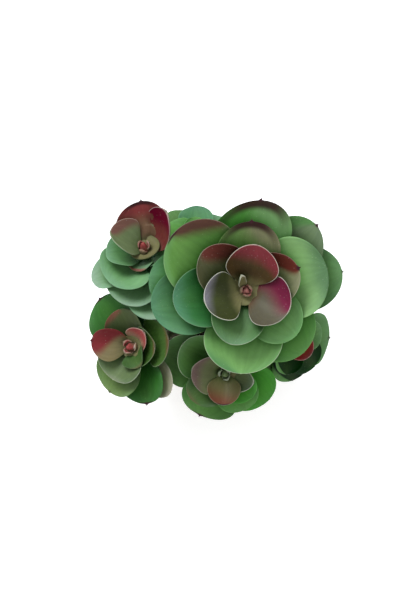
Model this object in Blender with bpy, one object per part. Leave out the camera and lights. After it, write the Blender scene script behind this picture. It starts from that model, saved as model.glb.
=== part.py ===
"""Potted echeveria: six leafy rosettes, each on its own stem, standing in a small filled clay pot.

One object for each piece: the pot, the soil and a leafy head with its stem for each rosette.
The origin is at the middle of the pot's foot, +Z is up and -Y is the side that the plant leans to.
"""

import math

import bpy
from mathutils import Matrix, Vector

MM = 0.001
CLEARANCE = 0.3 * MM  # between one piece and the next

# Pot: a thrown clay pot with a collar, a foot ring and a drain hole
POT_SIDES = 36
POT_HEIGHT = 56 * MM
POT_RIM_RADIUS = 38 * MM
POT_COLLAR_HEIGHT = 15 * MM
POT_COLLAR_STEP = 2.2 * MM
POT_FOOT_RADIUS = 27 * MM
POT_WALL = 4 * MM
POT_FLOOR = 5 * MM
POT_EDGE = 1.2 * MM  # bevel on the rim, the collar and the foot
FOOT_RING_WIDTH = 4 * MM
FOOT_RING_HEIGHT = 1.5 * MM
DRAIN_RADIUS = 5 * MM

# Soil: fills the pot to just under its rim
SOIL_SIDES = 32
SOIL_RINGS = 3
SOIL_TOP = POT_HEIGHT - 6 * MM
SOIL_CROWN = 1.5 * MM
SOIL_LUMP = 0.5 * MM
SOIL_WAVES = (4.1 * MM, 3.3 * MM, 6.2 * MM)
HOLE_SIDES = 16

# Leaves: a round blade on a narrow foot, thick along its middle, with a short point
BLADE_MIDDLE = 1.4 * MM
BLADE_EDGE = 0.8 * MM
LEAF_WIDEST_AT = 0.58  # where along their length most are widest
LEAF_SWELL = 1.4  # how late it widens from its foot
LEAF_FOOT_SHARE = 0.6  # half-width at the foot, as a share of the core's radius there
LEAF_FOOT_DEPTH = 1.2 * MM  # how far a leaf's foot reaches into the core
LEAF_POINT = 1.6 * MM
LEAF_STAGGER = 0.8 * MM  # each leaf of a whorl grows this much lower than the one before
LARGE_ROWS, LARGE_COLUMNS = (0.2, 0.42, 0.65, 0.85, 0.96), 4
MEDIUM_ROWS, MEDIUM_COLUMNS = (0.3, 0.6, 0.84, 0.96), 4
SMALL_ROWS, SMALL_COLUMNS = (0.4, 0.75, 0.95), 2
MEDIUM_UNDER = 30 * MM  # leaves shorter than this have fewer faces
SMALL_UNDER = 12 * MM
MIDRIB_STEPS = 40

STEM_SIDES = 6
STEM_STEPS = 6
STEM_ROOT_DEPTH = 20 * MM  # how deep a stem stands in the soil
BUD_RADIUS = 1.0 * MM
BUD_HEIGHT = 5 * MM
COLLAR_UNDER_LEAVES = 2 * MM  # where a stem has swollen to its core, under its lowest leaf
STEM_BEND = 0.45  # how far the stem's two ends run straight on, as a share of its length

POT_SHARP_OVER = 35  # degrees between faces over which an edge stays sharp
SOFT_SHARP_OVER = 50

CLAY = (0.56, 0.27, 0.16)
EARTH = (0.05, 0.035, 0.025)


def whorl(leaves, rise, cup, seat, sweep=0, widest_at=LEAF_WIDEST_AT):
    """Leaves at one level of a head, each with where it points, its length and its width in mm. They share
    their rise in degrees at foot, middle and tip, how far they cup in degrees, their depth under the crown
    in mm, how far their tips are swept to the left in mm, and where along their length they are widest."""
    return dict(leaves=leaves, rise=rise, cup=cup, seat=seat, sweep=sweep, widest_at=widest_at)


def rosette(green, crown, lean, heading, root, stem_radius, core_radius, whorls):
    """A head: its colour, its crown and root in mm, how far it leans from upright and which way in
    degrees, the radius of its stem and core in mm, and its leaves from the bud outward."""
    return dict(
        green=green,
        crown=Vector(crown) * MM,
        lean=math.radians(lean),
        heading=math.radians(heading),
        root=Vector(root) * MM,
        stem_radius=stem_radius * MM,
        core_radius=core_radius * MM,
        whorls=whorls,
    )


HEADS = {
    "head_large": rosette(
        (0.17, 0.33, 0.14), (18.4, -1.8, 118), 17, 270, (7, 0), 4, 5,
        (
            whorl(((40, 9, 6), (165, 9, 6), (280, 9, 6)), (40, 75, 100), 35, -4),
            whorl(((130, 17, 8),), (55, 60, 70), 40, -3),
            whorl(((78, 32.5, 29.5), (194, 30, 27.5), (334, 32, 29.5)), (56, 30, 30), 66, -0.5, 0, 0.68),
            whorl(((24, 35.5, 31), (139, 37, 31), (254, 35, 31)), (46, 22, 20), 50, 2),
            whorl(((90, 40.5, 37),), (34, 12, 12), 40, 4.5, -3),
            whorl(((189, 43.5, 35), (318, 39.5, 32)), (34, 12, 12), 40, 5.3),
            whorl(((144, 53, 47), (15, 48, 48), (267, 48, 46)), (24, 6, 8), 34, 7.2),
            whorl(((89, 51, 47),), (16, 1, 5), 28, 9.5, -8),
            whorl(((191, 54.5, 40), (313, 48.5, 42)), (16, 1, 5), 28, 10.3),
            whorl(((40, 54.5, 38), (171, 55, 40), (288, 44, 36)), (9, -4, 0), 22, 12.5, 2),
            whorl(((10, 56.5, 40),), (2, -8, 0), 18, 15.5),
        ),
    ),
    "head_back_left": rosette(
        (0.27, 0.42, 0.3), (-42.3, 28, 97), 20, 112, (-13, 9), 3, 4,
        (
            whorl(((20, 9, 6), (140, 9, 6), (260, 8, 6)), (35, 70, 100), 35, -3),
            whorl(((175, 27.5, 24),), (62, 50, 46), 56, -0.5),
            whorl(((30, 35, 27),), (14, 64, 84), 45, 0.5),
            whorl(((97, 32.5, 31),), (58, 46, 44), 44, 2, -2.5),
            whorl(((190, 24.5, 26), (250, 15.5, 17), (335, 17, 18)), (36, 20, 20), 46, 3),
            whorl(((226, 28.5, 38), (318, 19, 22)), (26, 8, 6), 38, 6.2),
            whorl(((201, 35, 26), (78, 20, 22)), (14, -4, -4), 28, 8),
            whorl(((248, 31, 36),), (10, -4, -4), 28, 10),
            whorl(((278, 36, 32),), (2, -12, -8), 24, 12.1),
        ),
    ),
    "head_front_left": rosette(
        (0.16, 0.29, 0.1), (-49.3, -26, 75), 31, 212, (-16, -10), 3, 4,
        (
            whorl(((125, 10, 7), (235, 10, 7), (355, 7, 6)), (35, 70, 95), 35, -3),
            whorl(((165, 27, 20), (300, 17, 16), (40, 17, 16)), (55, 32, 28), 60, -0.5),
            whorl(((240, 25, 30), (0, 18, 24), (100, 26, 26)), (44, 26, 22), 50, 2),
            whorl(((125, 37, 33), (8, 22.5, 30), (234, 34, 32)), (26, 8, 8), 38, 4.5),
            whorl(((275, 35, 31),), (14, 2, 2), 30, 7.4),
            whorl(((60, 26, 26), (296, 34, 22)), (12, 2, 2), 28, 9),
            whorl(((95, 34, 30),), (4, -6, 0), 24, 11.4),
        ),
    ),
    "head_front": rosette(
        (0.18, 0.32, 0.12), (6.7, -40.5, 72), 33, 266, (3, -18), 3, 4,
        (
            whorl(((50, 9, 6), (170, 9, 6), (290, 9, 6)), (35, 70, 100), 35, -3),
            whorl(((268, 22, 20), (160, 26, 25), (350, 22, 16)), (54, 38, 34), 60, -0.8),
            whorl(((215, 28, 25), (320, 24, 22), (95, 18, 18)), (44, 24, 20), 50, 1.8),
            whorl(((298, 28, 27), (50, 22, 22)), (30, 12, 10), 40, 4.5),
            whorl(((146, 31.5, 31),), (34, 16, 8), 36, 5.8),
            whorl(((243, 34, 36),), (18, 4, 4), 32, 7.2),
            whorl(((321, 33, 33), (168, 38, 36)), (14, 2, 4), 30, 8.6),
        ),
    ),
    "head_front_right": rosette(
        (0.13, 0.31, 0.12), (45.7, -21, 73), 34, 312, (18, -9), 3, 4,
        (
            whorl(((20, 8, 6), (140, 8, 6), (260, 8, 6)), (35, 70, 100), 35, -3),
            whorl(((322, 17.5, 17), (205, 16, 15), (85, 16, 15)), (54, 46, 44), 60, -0.5),
            whorl(((25, 22, 20), (265, 22, 20), (145, 14, 14)), (42, 22, 18), 46, 2),
            whorl(((320, 26, 24), (75, 24, 22), (200, 18, 18)), (26, 10, 8), 38, 4.5),
            whorl(((0, 30, 34),), (16, 2, 2), 32, 7),
            whorl(((290, 28, 26), (235, 26, 24)), (12, 0, 2), 28, 8.5),
        ),
    ),
    "head_back": rosette(
        (0.22, 0.4, 0.27), (-11.8, 38, 84), 24, 95, (-3, 17), 3, 4,
        (
            whorl(((40, 9, 6), (160, 9, 6), (280, 9, 6)), (35, 70, 100), 35, -3),
            whorl(((90, 16, 14), (210, 16, 14), (330, 16, 14)), (54, 40, 40), 58, -0.5),
            whorl(((30, 20, 18), (150, 22, 20), (270, 18, 16)), (40, 20, 18), 46, 2),
            whorl(((90, 30, 22), (210, 20, 20), (330, 22, 20)), (26, 10, 8), 38, 4.5),
            whorl(((118, 34, 23),), (14, 4, 4), 30, 7),
            whorl(((62, 31, 22), (0, 26, 24)), (10, 2, 2), 26, 9),
        ),
    ),
}


def clear_scene():
    for thing in list(bpy.data.objects):
        bpy.data.objects.remove(thing)


def material(name, colour, roughness):
    made = bpy.data.materials.new(name)
    made.use_nodes = True
    shader = made.node_tree.nodes["Principled BSDF"]
    shader.inputs["Base Color"].default_value = (*colour, 1)
    shader.inputs["Roughness"].default_value = roughness
    shader.inputs["Metallic"].default_value = 0
    return made


def add_mesh(name, points, faces, finish=None):
    mesh = bpy.data.meshes.new(name)
    mesh.from_pydata([tuple(point) for point in points], [], faces)
    mesh.update()
    made = bpy.data.objects.new(name, mesh)
    bpy.context.scene.collection.objects.link(made)
    if finish:
        mesh.materials.append(finish)
    return made


def turned(name, profile, sides, finish=None):
    """A closed ring of (radius, height) points turned about Z. A point on the axis becomes one vertex."""
    points = []
    rings = []
    for radius, height in profile:
        if radius == 0:
            rings.append([len(points)] * sides)
            points.append((0, 0, height))
            continue
        rings.append(list(range(len(points), len(points) + sides)))
        for k in range(sides):
            angle = 2 * math.pi * k / sides
            points.append((radius * math.cos(angle), radius * math.sin(angle), height))
    faces = []
    for lower, upper in zip(rings, rings[1:] + rings[:1]):
        for k in range(sides):
            after = (k + 1) % sides
            corners = []
            for corner in (lower[k], lower[after], upper[after], upper[k]):
                if corner not in corners:
                    corners.append(corner)
            if len(corners) > 2:
                faces.append(corners)
    return add_mesh(name, points, faces, finish)


def shade_round(thing, sharp_over):
    thing.data.shade_smooth()
    thing.data.set_sharp_from_angle(angle=math.radians(sharp_over))


def inner_radius(height):
    """The pot's inside radius at a height: a straight taper from the floor to the rim."""
    low = POT_FOOT_RADIUS - POT_WALL
    high = POT_RIM_RADIUS - POT_WALL
    share = (height - POT_FLOOR) / (POT_HEIGHT - POT_FLOOR)
    return low + (high - low) * share


def make_pot(finish):
    """Outline from the drain hole's lower edge, out over the foot, up the outside and down the inside."""
    collar_foot = POT_HEIGHT - POT_COLLAR_HEIGHT
    body_top = POT_RIM_RADIUS - POT_COLLAR_STEP
    ring_inside = POT_FOOT_RADIUS - FOOT_RING_WIDTH
    profile = [
        (DRAIN_RADIUS, FOOT_RING_HEIGHT),
        (ring_inside - POT_EDGE, FOOT_RING_HEIGHT),
        (ring_inside, 0),
        (POT_FOOT_RADIUS - POT_EDGE, 0),
        (POT_FOOT_RADIUS, POT_EDGE),
        (body_top - POT_EDGE, collar_foot - POT_EDGE),
        (POT_RIM_RADIUS - POT_EDGE, collar_foot),
        (POT_RIM_RADIUS, collar_foot + POT_EDGE),
        (POT_RIM_RADIUS, POT_HEIGHT - POT_EDGE),
        (POT_RIM_RADIUS - POT_EDGE, POT_HEIGHT),
        (POT_RIM_RADIUS - POT_WALL + POT_EDGE, POT_HEIGHT),
        (inner_radius(POT_HEIGHT - POT_EDGE), POT_HEIGHT - POT_EDGE),
        (inner_radius(POT_FLOOR), POT_FLOOR),
        (DRAIN_RADIUS, POT_FLOOR),
    ]
    pot = turned("pot", profile, POT_SIDES, finish)
    shade_round(pot, POT_SHARP_OVER)


def soil_height(x, y):
    """Low crown in the middle of the soil, with a little unevenness from crossed waves."""
    first, second, third = SOIL_WAVES
    inside = 1 - (math.hypot(x, y) / inner_radius(SOIL_TOP)) ** 2
    lumps = math.sin(x / first) * math.cos(y / second) + math.sin((x + y) / third)
    return SOIL_TOP + (SOIL_CROWN + SOIL_LUMP * lumps) * inside


def stem_hole(name, plan):
    """A round cutter for the plain hole in which a stem stands, a clearance wider than the stem."""
    radius = plan["stem_radius"] + CLEARANCE
    bottom = SOIL_TOP - STEM_ROOT_DEPTH - CLEARANCE
    top = POT_HEIGHT + SOIL_CROWN
    cutter = turned(name, [(0, bottom), (radius, bottom), (radius, top), (0, top)], HOLE_SIDES)
    cutter.location = (*plan["root"], 0)
    cutter.hide_render = True
    cutter.display_type = "WIRE"
    return cutter


def make_soil(finish):
    """Fills the pot from floor to SOIL_TOP, a clearance in from the wall, with a hole for each stem."""
    bottom = POT_FLOOR + CLEARANCE
    outer = inner_radius(SOIL_TOP) - CLEARANCE
    profile = [(0, bottom), (inner_radius(bottom) - CLEARANCE, bottom)]
    profile += [(outer * (SOIL_RINGS - k) / SOIL_RINGS, SOIL_TOP) for k in range(SOIL_RINGS + 1)]
    soil = turned("soil", profile, SOIL_SIDES, finish)
    for vertex in soil.data.vertices:
        if vertex.co.z > SOIL_TOP - CLEARANCE:
            vertex.co.z = soil_height(vertex.co.x, vertex.co.y)
    for name, plan in HEADS.items():
        hole = soil.modifiers.new(name + "_hole", "BOOLEAN")
        hole.operation = "DIFFERENCE"
        hole.object = stem_hole(name + "_hole", plan)
    shade_round(soil, SOFT_SHARP_OVER)


def head_frame(plan):
    """Turns the head's own frame, whose Z is the way that the rosette faces, into the plant's frame."""
    hinge = Vector((-math.sin(plan["heading"]), math.cos(plan["heading"]), 0))
    return Matrix.Translation(plan["crown"]) @ Matrix.Rotation(plan["lean"], 4, hinge)


def core_radius(plan, seat):
    """The core is a cone from the lowest leaves to the bud."""
    lowest = plan["whorls"][-1]["seat"] * MM
    share = (lowest - seat) / (lowest + BUD_HEIGHT)
    return plan["core_radius"] + (BUD_RADIUS - plan["core_radius"]) * min(1.0, max(0.0, share))


def leaves_of(plan):
    """Every leaf of a head. Within a whorl each grows a little lower than the one before it."""
    leaves = []
    for level in plan["whorls"]:
        for k, (azimuth, length, width) in enumerate(level["leaves"]):
            leaves.append(dict(
                azimuth=math.radians(azimuth),
                length=length * MM,
                half_width=width / 2 * MM,
                rise=[math.radians(angle) for angle in level["rise"]],
                cup=math.radians(level["cup"]),
                seat=level["seat"] * MM + k * LEAF_STAGGER,
                sweep=level["sweep"] * MM,
                widest_at=level["widest_at"],
            ))
    return leaves


def half_width(along, foot, widest, widest_at):
    """Half-width of a blade along its length: a power of a sine from the foot, then a quarter ellipse."""
    if along < widest_at:
        return foot + (widest - foot) * math.sin(math.pi / 2 * along / widest_at) ** LEAF_SWELL
    past = (along - widest_at) / (1 - widest_at)
    return widest * math.sqrt(max(0.0, 1 - past * past))


def midrib(leaf, foot_radius):
    """Points and slopes along a leaf's middle line, in the plane through the head's axis.
    The slope runs evenly from foot to middle and from middle to tip."""
    foot, middle, tip = leaf["rise"]
    step = leaf["length"] / MIDRIB_STEPS
    out, up = foot_radius, -leaf["seat"]
    line = []
    for k in range(MIDRIB_STEPS + 1):
        along = 2 * k / MIDRIB_STEPS
        slope = foot + (middle - foot) * along if along < 1 else middle + (tip - middle) * (along - 1)
        line.append((out, up, slope))
        out += step * math.cos(slope)
        up += step * math.sin(slope)
    return line


def leaf_row(spot, half, bend, swept, columns, side):
    """Points across a leaf at one spot of its midrib: an arc that turns by bend to either side.
    Side 0 is the upper face. Side 1 is the under face, thicker in the middle than at the rims."""
    out, up, slope = spot
    row = []
    for column in range(columns + 1):
        across = 2 * column / columns - 1
        angle = bend * across
        thick = side * (BLADE_EDGE + (BLADE_MIDDLE - BLADE_EDGE) * (1 - across * across))
        sideways = swept + half * math.sin(angle) / math.sin(bend) + thick * math.sin(angle)
        lift = half * (1 - math.cos(angle)) / math.sin(bend) - thick * math.cos(angle)
        row.append((out - lift * math.sin(slope), sideways, up + lift * math.cos(slope)))
    return row


def leaf_rows(leaf, foot_radius, foot_width, side):
    """The rows of one face from foot to point. The foot row has two points, and the last row has one."""
    rows, columns = LARGE_ROWS, LARGE_COLUMNS
    if leaf["length"] < MEDIUM_UNDER:
        rows, columns = MEDIUM_ROWS, MEDIUM_COLUMNS
    if leaf["length"] < SMALL_UNDER:
        rows, columns = SMALL_ROWS, SMALL_COLUMNS
    line = midrib(leaf, foot_radius)
    made = []
    for along in (0.0, *rows):
        half = half_width(along, foot_width, leaf["half_width"], leaf["widest_at"])
        bend = leaf["cup"] * half / leaf["half_width"]
        swept = leaf["sweep"] * along * along
        made.append(leaf_row(line[round(along * MIDRIB_STEPS)], half, bend, swept, columns if along else 1, side))
    out, up, slope = line[-1]
    drop = side * BLADE_EDGE
    out += LEAF_POINT * math.cos(slope) + drop * math.sin(slope)
    up += LEAF_POINT * math.sin(slope) - drop * math.cos(slope)
    return made + [[(out, leaf["sweep"], up)]]


def strip(near, far):
    """Triangles between two rows of point numbers of any length. Seen from above they turn left."""
    faces = []
    i = j = 0
    while i < len(near) - 1 or j < len(far) - 1:
        near_next = (i + 0.5) / (len(near) - 1) if i < len(near) - 1 else 2
        far_next = (j + 0.5) / (len(far) - 1) if j < len(far) - 1 else 2
        if near_next <= far_next:
            faces.append((near[i], far[j], near[i + 1]))
            i += 1
        else:
            faces.append((near[i], far[j], far[j + 1]))
            j += 1
    return faces


def make_leaf(name, leaf, plan, finish):
    """A closed blade: an upper and an under face made alike, a strip along each rim, and a foot face."""
    core = core_radius(plan, leaf["seat"])
    foot_radius = max(0.0, core - LEAF_FOOT_DEPTH)
    points, numbers = [], []
    for side in (0, 1):
        rows = leaf_rows(leaf, foot_radius, LEAF_FOOT_SHARE * core, side)
        numbers.append([])
        for row in rows:
            numbers[side].append(list(range(len(points), len(points) + len(row))))
            points += row
    upper, under = numbers
    faces = []
    for k in range(len(upper) - 1):
        faces += strip(upper[k], upper[k + 1])
        faces += [face[::-1] for face in strip(under[k], under[k + 1])]
    faces += strip([row[0] for row in upper], [row[0] for row in under])
    faces += strip([row[-1] for row in under], [row[-1] for row in upper])
    faces.append((upper[0][1], under[0][1], under[0][0], upper[0][0]))
    made = add_mesh(name, points, faces, finish)
    made.data.transform(head_frame(plan) @ Matrix.Rotation(leaf["azimuth"], 4, "Z"))
    return made


def stem_line(plan):
    """Points up the stem's middle: straight in the soil, then one smooth bend into the crown."""
    root = Vector((*plan["root"], SOIL_TOP))
    crown = plan["crown"]
    facing = head_frame(plan).to_3x3() @ Vector((0, 0, 1))
    reach = STEM_BEND * (crown - root).length
    first, second = root + Vector((0, 0, reach)), crown - facing * reach
    line = [root - Vector((0, 0, STEM_ROOT_DEPTH))]
    for k in range(STEM_STEPS + 1):
        t = k / STEM_STEPS
        s = 1 - t
        line.append(root * s**3 + first * 3 * t * s**2 + second * 3 * t**2 * s + crown * t**3)
    return line, facing


def make_stem(name, plan, finish):
    """A tube along the stem's line that swells into the core, where the leaves grow, and ends bluntly."""
    line, facing = stem_line(plan)
    lowest = leaves_of(plan)[-1]["seat"]
    crown = line.pop()
    radii = [plan["stem_radius"]] * len(line)
    collar = lowest + COLLAR_UNDER_LEAVES
    line += [crown - facing * collar, crown - facing * lowest, crown + facing * BUD_HEIGHT]
    radii += [plan["core_radius"], plan["core_radius"], BUD_RADIUS]
    points, faces = [], []
    side = Vector((1, 0, 0))
    for k, here in enumerate(line):
        ahead = (line[min(k + 1, len(line) - 1)] - line[max(k - 1, 0)]).normalized()
        if k < 2:
            ahead = Vector((0, 0, 1))
        side = (side - ahead * side.dot(ahead)).normalized()
        other = ahead.cross(side)
        for turn in range(STEM_SIDES):
            angle = 2 * math.pi * turn / STEM_SIDES
            points.append(here + (side * math.cos(angle) + other * math.sin(angle)) * radii[k])
    for k in range(len(line) - 1):
        for turn in range(STEM_SIDES):
            a, b = k * STEM_SIDES + turn, k * STEM_SIDES + (turn + 1) % STEM_SIDES
            faces.append((a, b, b + STEM_SIDES, a + STEM_SIDES))
    faces.append(tuple(range(STEM_SIDES))[::-1])
    faces.append(tuple(range((len(line) - 1) * STEM_SIDES, len(line) * STEM_SIDES)))
    return add_mesh(name, points, faces, finish)


def make_head(name, plan, finish):
    """The stem and its core, with every leaf of the rosette joined to it by one union."""
    stem = make_stem(name, plan, finish)
    leaves = bpy.data.collections.new(name + "_leaves")
    bpy.context.scene.collection.children.link(leaves)
    for number, leaf in enumerate(leaves_of(plan)):
        blade = make_leaf(f"{name}_leaf_{number}", leaf, plan, finish)
        bpy.context.scene.collection.objects.unlink(blade)
        leaves.objects.link(blade)
    union = stem.modifiers.new("leaves", "BOOLEAN")
    union.operation = "UNION"
    union.operand_type = "COLLECTION"
    union.collection = leaves
    union.solver = "MANIFOLD"
    joined = bpy.data.meshes.new_from_object(stem.evaluated_get(bpy.context.evaluated_depsgraph_get()))
    stem.modifiers.clear()
    stem.data = joined
    for blade in list(leaves.objects):
        bpy.data.objects.remove(blade)
    bpy.data.collections.remove(leaves)
    shade_round(stem, SOFT_SHARP_OVER)


def main():
    clear_scene()
    make_pot(material("clay", CLAY, 0.85))
    make_soil(material("earth", EARTH, 0.95))
    for name, plan in HEADS.items():
        make_head(name, plan, material(name.replace("head", "leaf"), plan["green"], 0.5))


main()
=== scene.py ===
# Potted echeveria: a large rosette and five smaller ones on bent stems, in a small clay pot of soil
import math

import bpy
import numpy as np
from mathutils import Matrix, Vector


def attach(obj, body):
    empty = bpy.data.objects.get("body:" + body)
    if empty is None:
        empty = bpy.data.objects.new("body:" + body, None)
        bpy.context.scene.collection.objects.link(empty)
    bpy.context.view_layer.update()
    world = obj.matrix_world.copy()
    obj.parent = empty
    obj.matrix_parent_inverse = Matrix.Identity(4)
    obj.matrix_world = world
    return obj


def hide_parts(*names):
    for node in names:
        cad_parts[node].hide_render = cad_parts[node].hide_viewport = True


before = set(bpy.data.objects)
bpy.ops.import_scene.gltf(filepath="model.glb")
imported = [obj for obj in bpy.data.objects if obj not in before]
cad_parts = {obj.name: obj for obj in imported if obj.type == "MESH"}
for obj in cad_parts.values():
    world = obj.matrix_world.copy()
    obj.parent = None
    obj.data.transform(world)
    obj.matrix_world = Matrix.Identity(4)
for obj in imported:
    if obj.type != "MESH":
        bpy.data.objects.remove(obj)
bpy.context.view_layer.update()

mm = 0.001


# Small helpers

def tint(red, green, blue):
    # a colour as a screen shows it, 0 to 255, turned into the light that Blender reckons with
    shares = [channel / 255 for channel in (red, green, blue)]
    return tuple(s / 12.92 if s <= 0.04045 else ((s + 0.055) / 1.055) ** 2.4 for s in shares)


def smooth(value, low, high):
    # 0 under low, 1 over high, and a soft S between them
    share = np.clip((value - low) / (high - low), 0, 1)
    return share * share * (3 - 2 * share)


def riseAndFall(value, low, full, fade, end):
    # 0 under low, 1 from full to fade, and 0 again over end
    return smooth(value, low, full) * (1 - smooth(value, fade, end))


def around(count):
    # a row of evenly spaced angles, once round
    return np.linspace(0, 2 * np.pi, count, endpoint=False)[None, :]


def runningSum(steps):
    # 0, and then the sum of the steps so far
    return np.concatenate([[0], np.cumsum(steps)])


def lengthAlong(line):
    # the running sum of the distances between a line's points
    return runningSum(np.linalg.norm(np.diff(line, axis=0), axis=1))


def together(*values):
    # grids of single values as one grid of points or marks
    return np.stack(np.broadcast_arrays(*values), axis=-1)


def pointsAt(line, travelled, at):
    # the points at some lengths along a line, straight between its own points
    return together(*(np.interp(at, travelled, values) for values in line.T))


def unit(vectors):
    # rows of vectors, each scaled to length 1
    return vectors / np.linalg.norm(vectors, axis=1)[:, None]


def turned(first, second, angle):
    # two coordinates turned by an angle: each takes a cosine's share of itself and a sine's share of the other
    cosine, sine = np.cos(angle), np.sin(angle)
    return first * cosine - second * sine, first * sine + second * cosine


def waves(x, y, size, count, seed):
    # a rolling field about 0: the mean of count plane waves, each with its own direction, length and start
    draw = np.random.default_rng(seed)
    turn, start = draw.uniform(0, 2 * np.pi, (2, count))
    length = size * draw.uniform(0.6, 1.6, count)
    way = np.cos(turn) * x[..., None] + np.sin(turn) * y[..., None]
    return np.sin(2 * np.pi * way / length + start).mean(axis=-1) * np.sqrt(count)


def gridFaces(rows, columns):
    # quads of a grid of points whose columns close into a ring
    row, column = np.meshgrid(np.arange(rows - 1), np.arange(columns), indexing="ij")
    here, after = row * columns + column, row * columns + (column + 1) % columns
    return np.stack([here, after, after + columns, here + columns], axis=-1).reshape(-1, 4)


def closedTube(points):
    # rings of points, one for each row, closed by the mean of the first ring and of the last
    rows, columns = points.shape[:2]
    ends = np.stack([points[0].mean(axis=0), points[-1].mean(axis=0)])
    count = rows * columns
    ring = np.arange(columns)
    after = np.roll(ring, -1)
    first = np.stack([after, ring, np.full(columns, count)], axis=-1)
    last = np.stack([ring + count - columns, after + count - columns, np.full(columns, count + 1)], axis=-1)
    return np.concatenate([points.reshape(count, -1), ends]), [gridFaces(rows, columns), first, last]


def meshPiece(name, material, points, faces, slotName, *nodes, **marks):
    # a piece of the model: its mesh, its per-point marks, its body and the nodes that it stands for; the slot name is
    # not used
    mesh = bpy.data.meshes.new(name)
    mesh.from_pydata(points.tolist(), [], [face for part in faces for face in part.tolist()])
    for label, values in marks.items():
        kind, field = ("FLOAT_COLOR", "color") if values.shape[1] == 4 else ("FLOAT_VECTOR", "vector")
        mesh.attributes.new(label, kind, "POINT").data.foreach_set(field, values.astype(np.float32).ravel())
    mesh.shade_smooth()
    mesh.materials.append(material)
    piece = bpy.data.objects.new(name, mesh)
    bpy.context.scene.collection.objects.link(piece)
    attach(piece, "root")
    if nodes:
        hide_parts(*nodes)
    print(name, "made,", len(mesh.polygons), "faces")


# Shader helpers. Each makes a node beside the sockets that it is given and returns what comes out of it.

def put(socket, value):
    # links a socket to another, or sets it to a number or colour
    if isinstance(value, bpy.types.NodeSocket):
        socket.id_data.links.new(value, socket)
    elif isinstance(value, tuple) and len(value) == 3 and socket.type == "RGBA":
        socket.default_value = (*value, 1)
    else:
        socket.default_value = value


def node(kind, values, **settings):
    # a node of a kind in the tree of the first socket among the values, which go into its inputs
    tree = next(value.id_data for value in values.values() if isinstance(value, bpy.types.NodeSocket))
    made = tree.nodes.new("ShaderNode" + kind)
    for name, setting in settings.items():
        setattr(made, name, setting)
    for label, value in values.items():
        put(made.inputs[label], value)
    return made.outputs


def calc(operation, first, second=0.0):
    # one step of arithmetic with one or two numbers
    return node("Math", {0: first, 1: second}, operation=operation)[0]


def times(first, *others):
    # the product of them all
    for other in others:
        first = calc("MULTIPLY", first, other)
    return first


def plus(first, *others):
    # the sum of them all
    for other in others:
        first = calc("ADD", first, other)
    return first


def ease(value, low, high, fromValue=0.0, toValue=1.0):
    # a soft S from one value to another, as the input goes from low to high
    values = dict(enumerate((value, low, high, fromValue, toValue)))
    return node("MapRange", values, interpolation_type="SMOOTHSTEP")[0]


def blend(share, first, second, mode="MIX"):
    # the first colour where the share is 0, and the second where it is 1
    return node("Mix", {0: share, 6: first, 7: second}, data_type="RGBA", blend_type=mode)[2]


def toned(colour, tone):
    # a colour times a tone or another colour
    return blend(1.0, colour, tone, "MULTIPLY")


def noise(place, scale, detail=3.0, roughness=0.5):
    # clouds from 0 to 1, as many to the metre as the scale says
    return node("TexNoise", {"Vector": place, "Scale": scale, "Detail": detail, "Roughness": roughness})[0]


def cells(place, scale):
    # a cell for each of many scattered points: how far off its point is, and its own colour
    return node("TexVoronoi", {"Vector": place, "Scale": scale})


def parts(vector):
    # the three numbers of a vector
    return node("SeparateXYZ", {0: vector})


def shift(place, amount):
    # the sum of two vectors
    return node("VectorMath", {0: place, 1: amount})[0]


def mark(tree, name, output="Vector"):
    # what the points of the mesh carry under a name
    made = tree.nodes.new("ShaderNodeAttribute")
    made.attribute_name = name
    return made.outputs[output]


def newGroup(name, inputs, outputs):
    # a node group with its sockets, given as lists of names for each kind, and its two end nodes
    group = bpy.data.node_groups.new(name, "ShaderNodeTree")
    for direction, sockets in (("INPUT", inputs), ("OUTPUT", outputs)):
        for kind, labels in sockets.items():
            for label in labels:
                group.interface.new_socket(label, in_out=direction, socket_type="NodeSocket" + kind)
    return group, group.nodes.new("NodeGroupInput").outputs, group.nodes.new("NodeGroupOutput").inputs


def newMaterial(name):
    # a material, its tree, the inputs of its shader and the place of a point in the object
    material = bpy.data.materials.new(name)
    material.use_nodes = True
    tree = material.node_tree
    return material, tree, tree.nodes["Principled BSDF"].inputs, tree.nodes.new("ShaderNodeTexCoord").outputs["Object"]


def dress(shader, colour, roughness, height, strength, depth):
    # the shader's colour and roughness, and its bumps of a strength and depth
    put(shader["Base Color"], colour)
    put(shader["Roughness"], roughness)
    put(shader["Normal"], node("Bump", {"Height": height, "Strength": strength, "Distance": depth})[0])


# Effects that several materials share: each is a node group that makes one value from a place and some numbers

def shared(name, output, make, *numbers):
    # makes the group once, and returns what puts it into a tree, with a place and a value for each number
    labels = ("Place", *numbers)
    group, given, result = newGroup(name, {"Vector": labels[:1], "Float": numbers}, {"Float": [output]})
    put(result[output], make(*(given[label] for label in labels)))
    return lambda *values: node("Group", dict(zip(labels, values)), node_tree=group)[output]


def mottleTone(place, scale, amount):
    # cloudy change of tone about 1, from two sizes of noise
    both = plus(times(noise(place, scale, 2.0), 0.7), times(noise(place, times(scale, 5.3)), 0.3))
    return plus(times(plus(both, -0.5), amount), 1.0)


def grainHeight(place, scale):
    # a fine skin: small cells with softer noise under them, as a height from 0 to 1
    soft = noise(place, times(scale, 0.35), 4.0, 0.6)
    return plus(times(cells(place, scale)["Distance"], 0.5), times(soft, 0.5))


def speckleMask(place, scale, share):
    # scattered round specks, as a mask; the share says how many of the cells hold one
    found = cells(place, scale)
    return times(calc("LESS_THAN", parts(found["Color"])[0], share), ease(found["Distance"], 0.32, 0.12))


mottle = shared("mottle", "Tone", mottleTone, "Scale", "Amount")
grain = shared("grain", "Height", grainHeight, "Scale")
speckle = shared("speckle", "Mask", speckleMask, "Scale", "Share")


# Rosettes: the same whorls as the solids, with a finish for each leaf

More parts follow.
